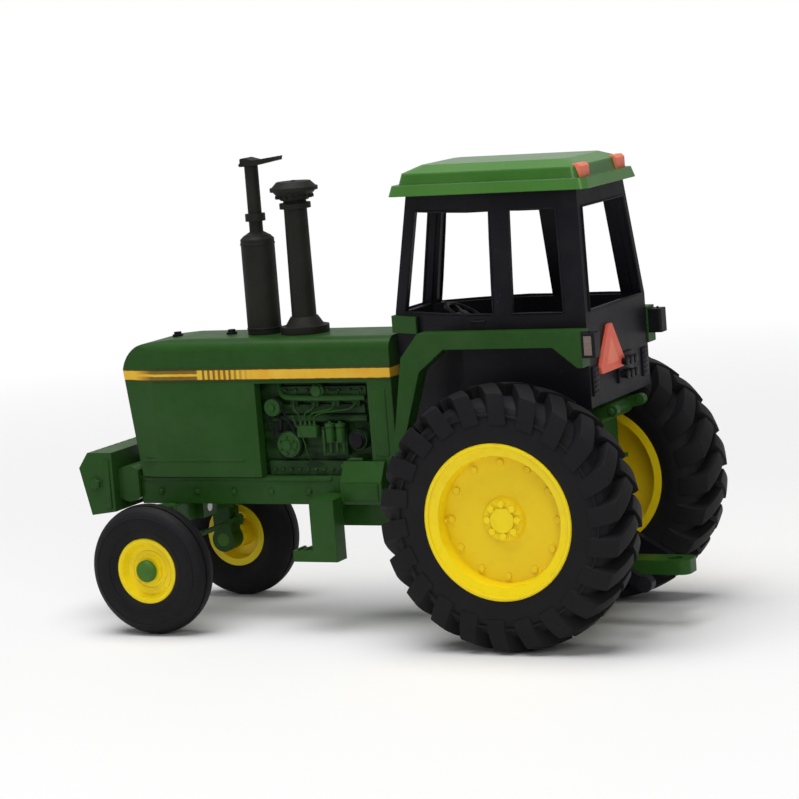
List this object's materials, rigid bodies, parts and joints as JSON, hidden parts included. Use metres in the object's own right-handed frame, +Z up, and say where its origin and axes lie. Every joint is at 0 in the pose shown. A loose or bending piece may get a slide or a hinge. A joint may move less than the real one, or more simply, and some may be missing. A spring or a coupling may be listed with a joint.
{
  "type": "toy tractor",
  "caption": "Small die-cast toy row-crop tractor with an open-window cab, free-rolling wheels, hood stacks, front weights and a drawbar for a hitch pin.",
  "frame": {"origin": "on the ground under the middle of the tractor's overall length and width", "axes": "+X to the front of the tractor, +Y to its left, +Z up"},
  "size_m": [0.0698, 0.032, 0.0506],
  "materials": {
    "green_paint": "dark green gloss enamel on die-cast metal",
    "hood_paint": "dark green gloss enamel with a yellow band",
    "green_plastic": "moulded dark green plastic",
    "fender_green": "dark green gloss enamel",
    "roof_green": "moulded mid-green plastic",
    "pin_green": "steel pin with a green head",
    "rim_yellow": "moulded yellow plastic",
    "tyre_rubber": "soft black moulded rubber",
    "black_plastic": "satin black moulded plastic",
    "seat_vinyl": "black moulded plastic",
    "grille_black": "black moulded screen",
    "stack_black": "satin black moulded plastic",
    "smoked_lens": "smoky brown painted lens",
    "lamp_orange": "orange-red paint",
    "steel": "plain zinc-plated steel"
  },
  "bodies": {
    "root": {"assembly_rivets": "steel", "axle_pivot_pin": "steel", "cab_floor": "black_plastic", "cab_shell": "black_plastic", "cab_step": "green_plastic", "chassis": "green_paint", "console": "black_plastic", "cowl": "green_paint", "drawbar": "green_paint", "engine_block": "green_paint", "exhaust_pipe": "stack_black", "fender_lamp_left": "black_plastic", "fender_lamp_right": "black_plastic", "fender_left": "fender_green", "fender_lens_left": "smoked_lens", "fender_lens_right": "smoked_lens", "fender_right": "fender_green", "front_axle_beam": "green_paint", "front_pin_left": "pin_green", "front_pin_right": "pin_green", "front_weights": "green_plastic", "grille": "grille_black", "hood": "hood_paint", "hood_caps": "black_plastic", "intake_stack": "stack_black", "knuckle_left": "green_plastic", "knuckle_right": "green_plastic", "lower_links": "black_plastic", "muffler": "stack_black", "pre_cleaner": "stack_black", "rain_flap": "stack_black", "rockshaft": "green_paint", "roof": "roof_green", "roof_lamps": "lamp_orange", "seat": "seat_vinyl", "side_boxes": "green_paint", "slow_vehicle_triangle": "lamp_orange", "steering_wheel": "black_plastic", "weight_bracket": "green_plastic"},
    "rear_wheels": {"rear_axle": "steel", "rear_rim_left": "rim_yellow", "rear_rim_right": "rim_yellow", "rear_tyre_left": "tyre_rubber", "rear_tyre_right": "tyre_rubber"},
    "front_wheel_left": {"front_rim_left": "rim_yellow", "front_tyre_left": "tyre_rubber"},
    "front_wheel_right": {"front_rim_right": "rim_yellow", "front_tyre_right": "tyre_rubber"}
  },
  "joints": [
    {"name": "rear_axle_spin", "type": "hinge", "parent": "root", "child": "rear_wheels", "pos_m": [-0.02035, 0, 0.01375], "axis": [0, 1, 0], "continuous": true},
    {"name": "front_left_spin", "type": "hinge", "parent": "root", "child": "front_wheel_left", "pos_m": [0.02385, 0.01, 0.00717], "axis": [0, 1, 0], "continuous": true},
    {"name": "front_right_spin", "type": "hinge", "parent": "root", "child": "front_wheel_right", "pos_m": [0.02385, -0.01, 0.00717], "axis": [0, 1, 0], "continuous": true}
  ]
}
